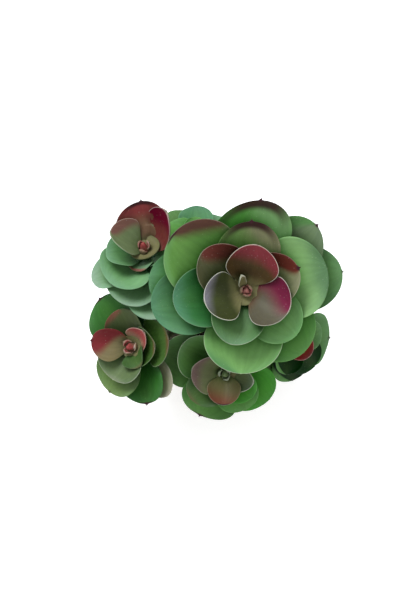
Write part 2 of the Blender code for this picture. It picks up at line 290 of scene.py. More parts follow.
leafShape = {
    "grid": (34, 40),  # rows and columns of points
    "swell": 1.4,  # how late the blade widens
    "footShare": 0.6,  # half the foot's width, as a share of the core's radius
    "footDepth": 1.2 * mm,
    "rimThickness": 0.8 * mm,
    "middleThickness": 1.4 * mm,
    "sectionPower": 0.45,  # the lower, the flatter the two faces and the blunter the rims
    "stagger": 0.8 * mm,
    "lastRow": 0.985,
    "spineRows": (0.02, 0.12, 0.3, 0.55, 0.8, 0.96),
    "spineLength": 1.7 * mm,
    "spineRadius": 0.5 * mm,
    "spinePower": 0.6,
    "spineFlare": 1.7 * mm,
    "flareFade": 6,
    "groove": 0.35 * mm,
    "grooveWidth": 1.6 * mm,
    "grooveEnds": (0, 0.2, 0.5, 0.95),  # where it begins, is full, starts to fade and is gone
    "ripple": 0.7 * mm,
    "rippleTurn": 7.5,  # radians from foot to tip
    "rippleSkew": 1.3,  # radians from the middle to a rim
    "rippleEnds": (0.15, 0.6, 0.95, 1.0),
    "twist": 0.05,  # radians at the tip
    "lean": 0.4 * mm,
}

bud = {
    "grid": (14, 16),
    "longest": 12,  # leaves shorter than this, in mm, are curls of the bud
    "curlShare": 0.8,  # what is left of a curl's size, so that they stand apart
    "radius": 1.0 * mm,
    "height": 5.0 * mm,
    "heartRows": 14, "heartColumns": 24,
    "heartFoot": 3 * mm,
    "heartHeight": 7 * mm,
    "heartRadius": 2.5 * mm,
    "pleats": 3,
    "pleatDepth": 0.14,
}

throat = {
    "downRows": 10, "upRows": 16, "columns": 48,
    "foot": 0.3 * mm,
    "rise": 1.05 * mm,  # how high it is a millimetre from the axis
    "power": 0.8,
    "wave": 0.04,
    "shade": 0.4,
}

# Soft leaves give way: how a leaf lies under the one above it, and how the shade between them spreads
leafRest = {
    "clearance": 0.2 * mm,
    "deepest": 4 * mm,  # no leaf is pressed down further
    "lowestGap": -6 * mm,
    "pressEdge": (-1.2 * mm, 0.6 * mm),
    "shadeGap": (-1.5 * mm, 0.8 * mm),
    "gaps": (0, 8 * mm, 10 * mm, 22 * mm),  # the gap between two leaves
    "spreads": (1.2 * mm, 4.56 * mm, 4.56 * mm, 8.16 * mm),  # and how far the shade spreads at that gap
    "shadeStart": (0.05, 0.35),
}


def finish(
    foot, body, blush, start=0.8, side=0.0, soft=0.3, footEnd=0.45, rim=0.0, spine=0.0, bloom=0.0, band=0.0,
):
    # three colours from foot to tip, the foot's colour for the green leaves a dark green that is painted shade; where
    # the blush starts, which side it leans to and how soft it is; how far the foot's colour reaches; and how strong the
    # pale rim (partly a painted highlight), the dark spine, the pale bloom (partly a painted sheen) and the maroon band
    # are
    return {
        "footTint": (*tint(*foot), band), "bodyTint": (*tint(*body), bloom), "blushTint": (*tint(*blush), 1),
        "leafBlush": (start, side, soft), "leafTrim": (footEnd, rim, spine),
    }


leafFinishes = {
    "throat": finish((118, 114, 78), (114, 110, 76), (114, 110, 76), 1.4),
    "rose": finish((104, 92, 66), (134, 102, 84), (158, 102, 96), 0.4, 0, 0.4, 0.3),
    "tan": finish((104, 100, 68), (112, 108, 74), (140, 136, 102), 0.8, 0, 0.2, 0.3, rim=0.4),
    "crimson": finish((126, 120, 82), (66, 50, 26), (118, 46, 52), 0.6, -0.1, 0.24, 0.46, rim=0.5),
    "silver": finish((134, 130, 90), (54, 60, 30), (118, 116, 122), 0.74, -0.15, 0.26, 0.54, rim=0.6),
    "magenta": finish((104, 76, 54), (88, 84, 68), (110, 30, 58), 0.38, 0.74, 0.66, 0.46, rim=0.6),
    "redEdge": finish((78, 96, 58), (118, 118, 88), (92, 36, 26), 0.7, 0.45, 0.2, 0.5, rim=0.1, spine=1),
    "bronze": finish((34, 52, 26), (80, 80, 54), (94, 42, 34), 0.62, -0.45, rim=0.15),
    "greyGreen": finish((24, 56, 12), (88, 126, 76), (94, 128, 92), 0.74, footEnd=0.58, rim=0.25, bloom=0.08),
    "maroonTip": finish((58, 96, 40), (90, 122, 62), (112, 112, 82), 0.55, -0.55, 0.5, 0.4, spine=1, band=0.9),
    "darkTip": finish((44, 100, 30), (66, 126, 48), (98, 136, 84), 0.6, -0.45, 0.4, 0.4, spine=1, band=1.2),
    "maroonSide": finish(
        (50, 100, 34), (86, 130, 60), (78, 50, 40), 0.88, -0.5, rim=0.1, spine=0.1, bloom=0.15, band=0.2),
    "green": finish((40, 92, 26), (88, 144, 66), (98, 146, 80), bloom=0.08),
    "brightGreen": finish((34, 86, 22), (118, 166, 100), (114, 168, 102), bloom=0.08),
    "mistGreen": finish((44, 96, 30), (134, 176, 112), (84, 118, 80), 0.66, 0, 0.32, 0.4, bloom=0.08),
    "softGreen": finish((40, 88, 28), (96, 142, 80), (108, 146, 98), 0.85, footEnd=0.5, bloom=0.15),
    "edgedGreen": finish((48, 84, 36), (84, 126, 62), (96, 130, 84), footEnd=0.5, rim=0.35, bloom=0.1),
    "mossGreen": finish((48, 84, 36), (92, 136, 80), (100, 138, 92), footEnd=0.5, spine=0.6, bloom=0.1),
    "deepGreen": finish((32, 88, 14), (72, 150, 48), (76, 140, 58), footEnd=0.5, bloom=0.05),
    "darkGreen": finish((20, 68, 10), (50, 104, 38), (60, 110, 50), footEnd=0.5, spine=0.8, bloom=0.05, band=0.15),
    # the next two finishes paint leaves near black-green for the shadow that they lie in; the second keeps a lime blush
    # on one side
    "shadowGreen": finish((0, 24, 0), (0, 44, 0), (10, 64, 4), 0.85, 0, 0.2, 0.5),
    "shadowLime": finish((0, 24, 0), (0, 44, 0), (88, 134, 72), 1.3, -1, 0.15, 0.5),
    "plainGreen": finish((40, 80, 30), (78, 116, 62), (84, 124, 72), footEnd=0.5),
    "nubGreen": finish((40, 84, 24), (76, 122, 56), (84, 120, 64), footEnd=0.5, spine=0.8, bloom=0.05, band=0.15),
    "oliveGreen": finish((60, 90, 40), (98, 124, 68), (106, 128, 76), footEnd=0.5, spine=0.5, bloom=0.08),
    "brownGreen": finish(
        (52, 56, 42), (100, 118, 88), (82, 126, 70), 1, 0.6, 0.25, 0.86, spine=1, bloom=0.05, band=0.04),
    "lime": finish((50, 110, 32), (114, 162, 92), (88, 136, 84), 1, -0.4, rim=0.4, bloom=0.1),
    "teal": finish((50, 108, 52), (76, 126, 82), (76, 122, 90), 0.75, footEnd=0.5, bloom=0.15),
    "lightTeal": finish((56, 112, 60), (98, 156, 98), (96, 144, 104), 0.75, footEnd=0.5, bloom=0.15),
    # a teal leaf whose dark body and dark foot are painted shade
    "shadedTeal": finish((16, 80, 20), (44, 104, 50), (78, 128, 96), 0.74, footEnd=0.85, rim=0.1, bloom=0.1),
    "softTeal": finish((76, 122, 74), (108, 152, 104), (112, 152, 116), 0.7, footEnd=0.4, bloom=0.15),
    "pale": finish((48, 104, 48), (122, 160, 120), (136, 162, 138), 0.72, footEnd=0.4, bloom=0.22),
    "pinkPale": finish((112, 100, 70), (166, 158, 136), (176, 166, 150), footEnd=0.4, rim=0.2, bloom=0.15),
    "plumEdge": finish((96, 112, 72), (104, 120, 82), (112, 78, 68), 0.7, -0.45, rim=0.15),
    "deepCrimson": finish((120, 92, 78), (106, 48, 44), (98, 0, 34), 0.46, 0.1, 0.3, 0.34, rim=0.3),
    "redHood": finish((80, 88, 56), (106, 80, 60), (108, 42, 42), 0.5, 0, 0.35, rim=0.1, spine=0.8, band=0.5),
    "redTip": finish((70, 110, 70), (104, 138, 100), (140, 88, 80), soft=0.15, bloom=0.1),
    "pinkRoll": finish((112, 90, 64), (140, 108, 88), (146, 66, 64), 0.45, 0, 0.35, rim=0.25),
    "crimsonTip": finish((96, 94, 62), (112, 102, 70), (112, 36, 40), 0.42, -0.3, 0.25, spine=0.6),
    "olive": finish((72, 80, 42), (90, 108, 70), (124, 132, 106), 0.85, 0, 0.2, rim=0.25, bloom=0.08),
    "brownEdge": finish((42, 68, 22), (66, 96, 42), (104, 78, 48), 0.86, 0, 0.16, rim=0.15),
    "redBrown": finish((50, 70, 36), (70, 80, 50), (112, 74, 58), 0.84, 0.3, 0.25),
    "brown": finish((82, 96, 54), (98, 94, 60), (104, 62, 44), 0.46, -0.1, 0.5, rim=0.1, band=0.1),
    "mossBrown": finish((52, 84, 34), (62, 92, 42), (92, 86, 56), 0.85, 0, 0.2, bloom=0.05),
    "greyBrown": finish((84, 104, 58), (92, 98, 66), (92, 74, 68), 0.6, footEnd=0.5, rim=0.1),
    "greyRim": finish((70, 84, 42), (84, 96, 62), (140, 142, 130), 0.9, 0, 0.15, rim=0.4, bloom=0.15),
    "scarlet": finish((70, 24, 16), (132, 34, 34), (120, 52, 52), 0.8, 0, 0.2, 0.5, rim=0.15),
}


def whorl(leaves, rise, cup, seat, sweep=0, widestAt=0.58):
    # leaves are azimuth in degrees, length and width in mm, and finish; the rest is as in the solids
    rise = [math.radians(angle) for angle in rise]
    return dict(leaves=leaves, rise=rise, cup=math.radians(cup), seat=seat * mm, sweep=sweep * mm, widestAt=widestAt)


rosetteLarge = {
    "name": "Large", "node": "head_large", "slot": "leaf_large", "seed": 11, "shade": 1, "throat": 8.8,
    "crown": (18.4, -1.8, 118), "lean": 17, "heading": 270, "root": (7, 0),
    "stemRadius": 4, "coreRadius": 5,
    "whorls": (
        whorl(((40, 9, 6, "rose"), (165, 9, 6, "rose"), (280, 9, 6, "rose")), (40, 75, 100), 35, -4),
        whorl(((126, 17, 5, "tan"),), (55, 60, 70), 40, -3, -3),
        whorl(
            ((78, 32.5, 29.5, "crimson"), (194, 30, 27.5, "silver"), (334, 32, 29.5, "magenta")),
            (56, 30, 30), 66, -0.5, 0, 0.68
        ),
        whorl(((24, 35.5, 31, "redEdge"), (139, 37, 31, "bronze"), (254, 35, 31, "greyGreen")), (46, 22, 20), 50, 2),
        whorl(((90, 40.5, 37, "maroonTip"),), (34, 12, 12), 40, 4.5, -3),
        whorl(((189, 43.5, 35, "shadedTeal"), (318, 39.5, 32, "brightGreen")), (34, 12, 12), 40, 5.3),
        whorl(((144, 53, 47, "maroonSide"), (15, 48, 48, "mistGreen"), (267, 48, 46, "lime")), (24, 6, 8), 34, 7.2),
        whorl(((89, 51, 47, "darkTip"),), (16, 1, 5), 28, 9.5, -8),
        whorl(((191, 54.5, 40, "teal"), (313, 48.5, 42, "green")), (16, 1, 5), 28, 10.3),
        whorl(
            ((40, 54.5, 38, "brownGreen"), (171, 55, 40, "lightTeal"), (288, 44, 36, "green")),
            (9, -4, 0), 22, 12.5, 2
        ),
        whorl(((10, 56.5, 40, "mossGreen"),), (2, -8, 0), 18, 15.5),
    ),
}

# what the side rosettes share
sideRosette = {"shade": 0.7, "stemRadius": 3, "coreRadius": 4}

rosetteBackLeft = sideRosette | {
    "name": "BackLeft", "node": "head_back_left", "slot": "leaf_back_left", "seed": 22, "throat": 9.5,
    "crown": (-42.3, 28, 97), "lean": 20, "heading": 112, "root": (-13, 9),
    "whorls": (
        whorl(((20, 9, 6, "pinkRoll"), (140, 9, 6, "rose"), (260, 8, 6, "rose")), (35, 70, 100), 35, -3),
        whorl(((175, 27.5, 24, "plumEdge"),), (62, 50, 46), 56, -0.5),
        whorl(((30, 35, 27, "deepCrimson"),), (14, 64, 84), 45, 0.5),
        whorl(((97, 32.5, 31, "redHood"),), (58, 46, 44), 44, 2, -2.5),
        whorl(
            ((190, 24.5, 26, "softTeal"), (250, 15.5, 17, "redTip"), (335, 17, 18, "softTeal")),
            (36, 20, 20), 46, 3
        ),
        whorl(((226, 28.5, 38, "softTeal"), (318, 19, 22, "softTeal")), (26, 8, 6), 38, 6.2),
        whorl(((201, 35, 26, "pale"), (78, 20, 22, "green")), (14, -4, -4), 28, 8),
        whorl(((248, 31, 36, "pale"),), (10, -4, -4), 28, 10),
        whorl(((278, 36, 32, "pale"),), (2, -12, -8), 24, 12.1),
    ),
}

rosetteFrontLeft = sideRosette | {
    "name": "FrontLeft", "node": "head_front_left", "slot": "leaf_front_left", "seed": 33, "throat": 7,
    "crown": (-49.3, -26, 75), "lean": 31, "heading": 212, "root": (-16, -10),
    "whorls": (
        whorl(((125, 10, 7, "pinkRoll"), (235, 10, 7, "pinkRoll"), (355, 7, 6, "pinkRoll")), (35, 70, 95), 35, -3),
        whorl(
            ((165, 27, 20, "crimsonTip"), (300, 17, 16, "mossBrown"), (40, 17, 16, "pinkRoll")),
            (55, 32, 28), 60, -0.5
        ),
        whorl(((240, 25, 30, "olive"), (0, 18, 24, "brownEdge"), (100, 26, 26, "redBrown")), (44, 26, 22), 50, 2),
        whorl(
            ((125, 37, 33, "darkGreen"), (8, 22.5, 30, "brownEdge"), (234, 34, 32, "oliveGreen")),
            (26, 8, 8), 38, 4.5
        ),
        whorl(((275, 35, 31, "darkGreen"),), (14, 2, 2), 30, 7.4),
        whorl(((60, 26, 26, "shadedTeal"), (296, 34, 22, "pinkPale")), (12, 2, 2), 28, 9),
        whorl(((95, 34, 30, "darkGreen"),), (4, -6, 0), 24, 11.4),
    ),
}

rosetteFront = sideRosette | {
    "name": "Front", "node": "head_front", "slot": "leaf_front", "seed": 44, "throat": 7,
    "crown": (6.7, -40.5, 72), "lean": 33, "heading": 266, "root": (3, -18),
    "whorls": (
        whorl(((50, 9, 6, "olive"), (170, 9, 6, "olive"), (290, 9, 6, "olive")), (35, 70, 100), 35, -3),
        whorl(((268, 22, 20, "brown"), (160, 26, 25, "greyBrown"), (350, 22, 16, "greyRim")), (54, 38, 34), 60, -0.8),
        whorl(((215, 28, 25, "mossBrown"), (320, 24, 22, "deepGreen"), (95, 18, 18, "olive")), (44, 24, 20), 50, 1.8),
        whorl(((298, 28, 27, "green"), (50, 22, 22, "green")), (30, 12, 10), 40, 4.5),
        whorl(((146, 31.5, 31, "edgedGreen"),), (34, 16, 8), 36, 5.8),
        whorl(((243, 34, 36, "nubGreen"),), (18, 4, 4), 32, 7.2),
        whorl(((321, 33, 33, "deepGreen"), (168, 38, 36, "edgedGreen")), (14, 2, 4), 30, 8.6),
    ),
}

rosetteFrontRight = sideRosette | {
    "name": "FrontRight", "node": "head_front_right", "slot": "leaf_front_right", "seed": 55,
    "crown": (45.7, -21, 73), "lean": 34, "heading": 312, "root": (18, -9),
    "whorls": (
        whorl(((20, 8, 6, "rose"), (140, 8, 6, "rose"), (260, 8, 6, "rose")), (35, 70, 100), 35, -3),
        whorl(((322, 17.5, 17, "scarlet"), (205, 16, 15, "olive"), (85, 16, 15, "olive")), (54, 46, 44), 60, -0.5),
        whorl(((25, 22, 20, "softGreen"), (265, 22, 20, "shadowLime"), (145, 14, 14, "green")), (42, 22, 18), 46, 2),
        whorl(((320, 26, 24, "shadowGreen"), (75, 24, 22, "green"), (200, 18, 18, "lime")), (26, 10, 8), 38, 4.5),
        whorl(((0, 30, 34, "mossGreen"),), (16, 2, 2), 32, 7),
        whorl(((290, 28, 26, "shadowLime"), (235, 26, 24, "lime")), (12, 0, 2), 28, 8.5),
    ),
}

rosetteBack = sideRosette | {
    "name": "Back", "node": "head_back", "slot": "leaf_back", "seed": 66,
    "crown": (-11.8, 38, 84), "lean": 24, "heading": 95, "root": (-3, 17),
    "whorls": (
        whorl(((40, 9, 6, "rose"), (160, 9, 6, "rose"), (280, 9, 6, "rose")), (35, 70, 100), 35, -3),
        whorl(((90, 16, 14, "green"), (210, 16, 14, "olive"), (330, 16, 14, "green")), (54, 40, 40), 58, -0.5),
        whorl(((30, 20, 18, "olive"), (150, 22, 20, "green"), (270, 18, 16, "olive")), (40, 20, 18), 46, 2),
        whorl(((90, 30, 22, "teal"), (210, 20, 20, "teal"), (330, 22, 20, "green")), (26, 10, 8), 38, 4.5),
        whorl(((118, 34, 23, "plainGreen"),), (14, 4, 4), 30, 7),
        whorl(((62, 31, 22, "softTeal"), (0, 26, 24, "teal")), (10, 2, 2), 26, 9),
    ),
}


def rosetteFrame(plan):
    # turns the rosette's own frame, whose Z is the way that it faces, into the plant's frame
    heading = math.radians(plan["heading"])
    hinge = Vector((-math.sin(heading), math.cos(heading), 0))
    return Matrix.Translation(Vector(plan["crown"]) * mm) @ Matrix.Rotation(math.radians(plan["lean"]), 4, hinge)


def coreRadius(plan, seat):
    # the core is a cone from the lowest leaves to the bud
    lowest = plan["whorls"][-1]["seat"]
    share = np.clip((lowest - seat) / (lowest + bud["height"]), 0, 1)
    widest = plan["coreRadius"] * mm
    return widest + (bud["radius"] - widest) * share


def bladeHalfWidth(along, leaf):
    # a power of a sine from the foot to the widest place, a quarter ellipse from there to the tip,
    # and past the tip a small spine whose foot flares into the rim
    foot, widest, at, spine = leaf["footWidth"], leaf["halfWidth"], leaf["widestAt"], leaf["spine"]
    rising = foot + (widest - foot) * np.sin(np.pi / 2 * np.clip(along / at, 0, 1)) ** leafShape["swell"]
    falling = widest * np.sqrt(1 - np.clip((along - at) / (1 - at), 0, 1) ** 2)
    beyond = np.clip((along - 1) * leaf["length"] / spine, 0, 1)
    flare = leafShape["spineFlare"] * np.exp(-beyond * leafShape["flareFade"]) * (1 - beyond)
    point = leafShape["spineRadius"] * (1 - beyond) ** leafShape["spinePower"] + flare
    point = point * spine / leafShape["spineLength"]
    return np.where(along < at, rising, np.where(along < 1, np.maximum(falling, 0.2 * point), point))


def midrib(leaf, along):
    # the middle line in the plane through the rosette's axis: its slope runs evenly from foot to middle
    # and from middle to tip, and its place is the running sum of small steps along that slope
    steps = np.linspace(0, 1.1, 441)
    slope = np.interp(steps, (0, 0.5, 1), leaf["rise"])
    middle = (slope[1:] + slope[:-1]) / 2
    step = leaf["length"] * (steps[1] - steps[0])
    out = leaf["footRadius"] + runningSum(np.cos(middle) * step)
    up = -leaf["seat"] + runningSum(np.sin(middle) * step)
    return [np.interp(along, steps, values) for values in (out, up, slope)]


def leafGrid(leaf, draw):
    # a thin blade as a tube: rows run along it and columns round its section. Across, it is an arc that turns
    # by the cup to either side. The section is a flat oval, so its rims are round.
    length, widest, at = leaf["length"], leaf["halfWidth"], leaf["widestAt"]
    rows, columns = leaf["grid"]
    rising = at * np.linspace(0, 1, rows // 2, endpoint=False)
    falling = at + (1 - at) * np.sin(np.pi / 2 * np.linspace(0, leafShape["lastRow"], rows - rows // 2))
    spine = 1 + np.array(leafShape["spineRows"]) * leaf["spine"] / length
    along = np.concatenate([rising, falling, spine])[:, None]
    turn = around(columns)
    across = np.cos(turn)
    face = np.sign(np.sin(turn)) * np.abs(np.sin(turn)) ** leafShape["sectionPower"]  # 1 above, -1 below

    half = bladeHalfWidth(along, leaf)
    bend = np.maximum(leaf["cup"] * half / widest, 1e-3)
    out, up, slope = midrib(leaf, along)
    thick = leafShape["rimThickness"] + (leafShape["middleThickness"] - leafShape["rimThickness"]) * (1 - across**2)
    under = np.minimum(thick, 2 * half) * (1 - face) / 2
    groove = leafShape["groove"] * riseAndFall(along, *leafShape["grooveEnds"])
    groove = groove * np.exp(-(across * half / leafShape["grooveWidth"]) ** 2)

    # the rim ripples a little, more on one side than on the other, and the blade twists and leans by a degree or two
    start, wide, twist, lean = draw.uniform(-1, 1, 4)
    phase = leafShape["rippleTurn"] * along + 3 * start + leafShape["rippleSkew"] * across * (1 + wide)
    ripple = leafShape["ripple"] * np.sin(phase) * across**2 * riseAndFall(along, *leafShape["rippleEnds"])
    angle = bend * across
    sideways = half * np.sin(angle) / np.sin(bend) + under * np.sin(angle)
    lift = half * (1 - np.cos(angle)) / np.sin(bend) - under * np.cos(angle) + ripple - groove
    sideways, lift = turned(sideways, lift, leafShape["twist"] * twist * along)
    sideways = sideways + (leaf["sweep"] + leafShape["lean"] * lean) * along**2
    points = together(out - lift * np.sin(slope), sideways, up + lift * np.cos(slope))

    # how far each point is from the rim and from the tip, in mm
    past = np.clip((along - at) / (1 - at), 0, 1)
    reach = np.sqrt(np.clip(past**2 + (across * half / widest) ** 2, 0, 1))
    rim = np.where(along < at, half * (1 - np.abs(across)), widest * (1 - reach)) / mm
    tip = np.hypot((1.02 - along) * length, half * across) / mm
    return points, together(along, across, rim, tip, face)


def ringedGrid(radius, turn, up, along, across, face):
    # rings round the rosette's axis, with the marks of tissue that is far from any rim and tip
    points = together(radius * np.cos(turn), radius * np.sin(turn), up)
    return points, together(along, across, 5 + 0 * radius, 9, face)


def heartGrid():
    # the heart of the bud: a dome whose radius is the root of a falling parabola, with pleats round it
    along = np.linspace(0, 0.97, bud["heartRows"])[:, None]
    turn = around(bud["heartColumns"])
    pleats = 1 + bud["pleatDepth"] * np.cos(bud["pleats"] * (turn + along))
    radius = bud["heartRadius"] * np.sqrt(1 - along**2) * pleats
    up = bud["heartFoot"] + bud["heartHeight"] * along
    return ringedGrid(radius, turn, up, 0.4 + 0.5 * along, 0.4 * np.cos(bud["pleats"] * turn), 1)


def throatGrid(reach):
    # the throat between the inner leaves: a shallow bowl, its height a power of its radius, and as thick as a rim
    share = np.concatenate([np.linspace(0.1, 1, throat["downRows"]), np.linspace(1, 0.1, throat["upRows"])])[:, None]
    turn = around(throat["columns"])
    radius = share * reach * (1 + throat["wave"] * np.cos(bud["pleats"] * turn))
    face = np.where(np.arange(len(share)) < throat["downRows"], -1, 1)[:, None]
    up = throat["foot"] + throat["rise"] * (radius / mm) ** throat["power"] - leafShape["rimThickness"] * (face < 0)
    return *ringedGrid(radius, turn, up, 0.2, 0, face), throat["shade"] * smooth(share, 0.75, 1) + 0 * radius


def leavesOf(plan):
    # every leaf; within a whorl each grows a little lower than the one before
    for level in plan["whorls"]:
        for number, (azimuth, length, width, look) in enumerate(level["leaves"]):
            seat = level["seat"] + number * leafShape["stagger"]
            core = coreRadius(plan, seat)
            curl = length < bud["longest"]
            size = (bud["curlShare"] if curl else 1) * mm
            yield level | {
                "azimuth": math.radians(azimuth),
                "length": length * size,
                "halfWidth": width / 2 * size,
                "spine": leafShape["spineLength"] * (0.25 + 0.75 * leafFinishes[look]["leafTrim"][2]),
                "seat": seat,
                "footRadius": max(0.0, core - leafShape["footDepth"]),
                "footWidth": leafShape["footShare"] * core,
                "look": leafFinishes[look],
                "curl": curl,
                "grid": (bud if curl else leafShape)["grid"],
            }


def underLeaf(points, upper):
    # how points of the rosette lie against a leaf above them: how far inside its outline they are, negative outside,
    # and how far under its lower face. Its middle line is looked up by reach, and its lift by the sideways place.
    reach, sideways = turned(points[..., 0], points[..., 1], -upper["azimuth"])
    steps = np.linspace(0, 1, 161)
    out, up, slope = midrib(upper, steps)
    half = bladeHalfWidth(steps, upper)
    bend = np.maximum(upper["cup"] * half / upper["halfWidth"], 1e-3)
    along, lift = np.interp(reach, out, steps), 0
    for _ in range(3):
        here = sideways - upper["sweep"] * along**2
        halfHere, bendHere, slopeHere = (np.interp(along, steps, values) for values in (half, bend, slope))
        angle = np.arcsin(np.clip(here * np.sin(bendHere) / halfHere, -np.sin(bendHere), np.sin(bendHere)))
        lift = halfHere * (1 - np.cos(angle)) / np.sin(bendHere)
        along = np.interp(reach + lift * np.sin(slopeHere), out, steps)
    gap = np.interp(along, steps, up) + lift * np.cos(slopeHere) - leafShape["middleThickness"] - points[..., 2]
    widestOut = np.interp(upper["widestAt"], steps, out)
    tipLength = out[-1] - widestOut
    past = (reach + lift * np.sin(slopeHere) - widestOut) / tipLength
    rounded = (1 - np.hypot(past, here / upper["halfWidth"])) * (upper["halfWidth"] + tipLength) / 2
    inside = np.where(past > 0, rounded, halfHere - np.abs(here))
    return np.where(reach > 0, inside, -1.0), gap


def settle(points, uppers):
    # where a leaf would come up through one above it, it is pressed down to lie under it. The shade is 1 under
    # the leaf above and dies out beside it, the sooner the closer the two lie.
    top = points[:, : points.shape[1] // 2 + 1]
    shade, press = np.zeros(top.shape[:2]), np.zeros(top.shape[:2])
    for upper in uppers:
        inside, gap = underLeaf(top, upper)
        depth = np.clip(leafRest["clearance"] - gap, 0, leafRest["deepest"]) * (gap > leafRest["lowestGap"])
        press = np.maximum(press, depth * smooth(inside, *leafRest["pressEdge"]))
        fade = np.exp(-np.maximum(-inside, 0) / np.interp(gap, leafRest["gaps"], leafRest["spreads"]))
        shade = np.maximum(shade, fade * smooth(gap, *leafRest["shadeGap"]))
    press, shade = (np.concatenate([half, half[:, -2:0:-1]], axis=1) for half in (press, shade))
    return points - press[..., None] * (0, 0, 1), shade


def rosetteMesh(plan):
    # all leaves of a rosette as one mesh, with their marks and colours
    draw = np.random.default_rng(plan["seed"])
    toPlant = np.array(rosetteFrame(plan))
    heart, places = heartGrid()
    blocks = [(heart, places, 0 * places[..., 0], leafFinishes[plan["whorls"][0]["leaves"][0][3]])]
    if "throat" in plan:
        blocks.append((*throatGrid(plan["throat"] * mm), leafFinishes["throat"]))
    uppers = []
    for leaf in leavesOf(plan):
        blade, places = leafGrid(leaf, draw)
        blade, shade = settle(blade @ np.array(Matrix.Rotation(leaf["azimuth"], 3, "Z")).T, uppers)
        if not leaf["curl"]:
            uppers.append(leaf)
        shade = plan["shade"] * shade * smooth(places[..., 0], *leafRest["shadeStart"])
        blocks.append((blade, places, shade, leaf["look"]))
    points, faces, marks, count = [], [], {}, 0
    for blade, places, shade, look in blocks:
        flat, blockFaces = closedTube(np.concatenate([blade, places, shade[..., None]], axis=-1))
        points.append(flat[:, :3] @ toPlant[:3, :3].T + toPlant[:3, 3])
        faces += [block + count for block in blockFaces]
        count += len(flat)
        own = {"leafPlace": flat[:, [3, 4, 8]], "leafEdge": flat[:, 5:8], "leafSeed": draw.uniform(0, 9, 3), **look}
        for name, values in own.items():
            marks.setdefault(name, []).append(np.broadcast_to(values, (len(flat), np.shape(values)[-1])))
    return np.concatenate(points), faces, {name: np.concatenate(values) for name, values in marks.items()}


leafSkin = {
    # a paler stripe down the middle towards the tip: painted highlight
    "middle": tint(150, 172, 96),
    # pale colour for the rim line, partly the leaf's own pale edge and partly a painted highlight, and for the powder
    # specks
    "rim": tint(206, 204, 190),
    "spine": tint(52, 22, 30),
    "band": tint(40, 8, 12),
    # pale blue-green near the rims: partly the leaf's wax bloom, partly a painted sheen
    "bloom": tint(116, 150, 132),
    "underside": tint(92, 120, 84),
    "shade": (0.22, 0.38, 0.16),  # what is left of the light between leaves
    "shadePower": 1.15,
    "depth": 0.86,  # how deep all the colours are, 1 for as given
    "cloudScale": 55.0, "wander": 0.22,  # how far the borders between colours wander, as a share of the length
    "mottleScale": 70.0, "mottle": 0.45,
    "streaks": 8.0, "streakTone": 0.06,
    "powderScale": 950.0, "powderShare": 0.16, "powder": 0.05, "blushPowder": 0.12,
    "grainScale": 1900.0, "veins": 46.0,
    "rimEnds": (0.42, 0.14),  # mm from the rim where the pale line begins and is full
    "spineEnds": (2.6, 1.0),  # mm from the tip
    "bloomEnds": (7.0, 1.5),
    "bandWidth": 6.0, "bandReach": 24.0,  # mm, where the band is 1
    "gloss": 0.22, "bumps": 0.12, "bumpDepth": 0.2 * mm,
}

leafMarks = ("leafPlace", "leafEdge", "leafBlush", "leafTrim", "leafSeed")
leafTints = ("footTint", "bodyTint", "blushTint")


